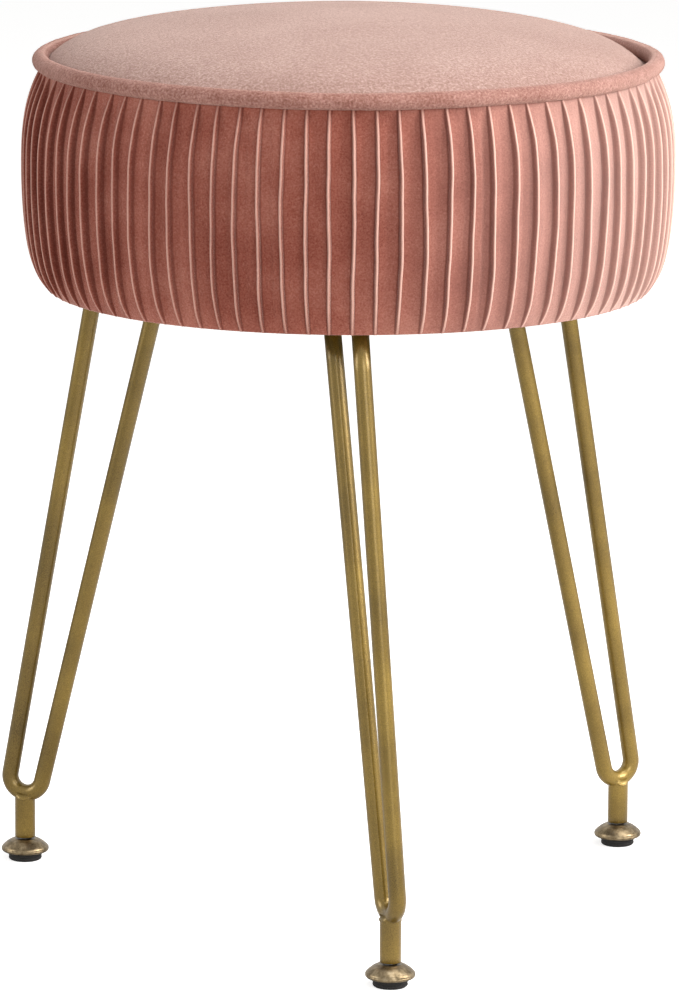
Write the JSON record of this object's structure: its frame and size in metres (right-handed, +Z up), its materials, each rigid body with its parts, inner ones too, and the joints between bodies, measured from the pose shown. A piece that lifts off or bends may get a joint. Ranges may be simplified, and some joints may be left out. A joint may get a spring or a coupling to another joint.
{
  "type": "vanity stool",
  "caption": "Round upholstered vanity stool: domed velvet seat with a piped rim and pleated side on hairpin legs with levelling feet.",
  "frame": {"origin": "on the floor, under the middle of the whole stool's plan box; the seat's axis stands at y = +16 mm, because the front leg reaches further out than the seat does behind", "axes": "+Z up; one leg, the front one in the picture, stands on -Y, and the other two stand 120 degrees round from it"},
  "size_m": [0.3718, 0.3931, 0.5],
  "materials": {
    "velvet": "matte",
    "velvet_piping": "matte",
    "foam": "matte",
    "cord": "matte",
    "lining": "matte",
    "plywood": "matte",
    "gold_paint": "satin",
    "antique_nickel": "polished",
    "zinc_steel": "satin",
    "rubber": "matte"
  },
  "bodies": {
    "stool": {"base_board": "plywood", "foam_core": "foam", "pleated_side": "velvet", "top_pad": "foam", "top_cover": "velvet", "piping": "velvet_piping", "piping_cord": "cord", "dust_cover": "lining", "cover_staples": "zinc_steel", "leg_plate_front": "gold_paint", "hairpin_rod_front": "gold_paint", "leg_stem_front": "gold_paint", "leg_bolts_front": "zinc_steel", "tee_nuts_front": "zinc_steel", "leg_plate_right": "gold_paint", "hairpin_rod_right": "gold_paint", "leg_stem_right": "gold_paint", "leg_bolts_right": "zinc_steel", "tee_nuts_right": "zinc_steel", "leg_plate_left": "gold_paint", "hairpin_rod_left": "gold_paint", "leg_stem_left": "gold_paint", "leg_bolts_left": "zinc_steel", "tee_nuts_left": "zinc_steel"},
    "pad_front": {"foot_pad_front": "rubber"},
    "foot_front": {"foot_dome_front": "antique_nickel", "foot_stud_front": "zinc_steel"},
    "pad_right": {"foot_pad_right": "rubber"},
    "foot_right": {"foot_dome_right": "antique_nickel", "foot_stud_right": "zinc_steel"},
    "pad_left": {"foot_pad_left": "rubber"},
    "foot_left": {"foot_dome_left": "antique_nickel", "foot_stud_left": "zinc_steel"}
  },
  "joints": [
    {"name": "foot_front_extend", "type": "slide", "parent": "stool", "child": "pad_front", "axis": [0, 0, -1], "range_m": [0, 0.01]},
    {"name": "foot_front_screw", "type": "hinge", "parent": "pad_front", "child": "foot_front", "pos_m": [0, -0.183, 0.008], "axis": [0, 0, -1], "range_deg": [0, 2880]},
    {"name": "foot_right_extend", "type": "slide", "parent": "stool", "child": "pad_right", "axis": [0, 0, -1], "range_m": [0, 0.01]},
    {"name": "foot_right_screw", "type": "hinge", "parent": "pad_right", "child": "foot_right", "pos_m": [0.17234, 0.1155, 0.008], "axis": [0, 0, -1], "range_deg": [0, 2880]},
    {"name": "foot_left_extend", "type": "slide", "parent": "stool", "child": "pad_left", "axis": [0, 0, -1], "range_m": [0, 0.01]},
    {"name": "foot_left_screw", "type": "hinge", "parent": "pad_left", "child": "foot_left", "pos_m": [-0.17234, 0.1155, 0.008], "axis": [0, 0, -1], "range_deg": [0, 2880]}
  ],
  "couplings": [
    {"joint": "foot_front_extend", "follows": "foot_front_screw", "m_per_rad": 0.00019894},
    {"joint": "foot_right_extend", "follows": "foot_right_screw", "m_per_rad": 0.00019894},
    {"joint": "foot_left_extend", "follows": "foot_left_screw", "m_per_rad": 0.00019894}
  ]
}
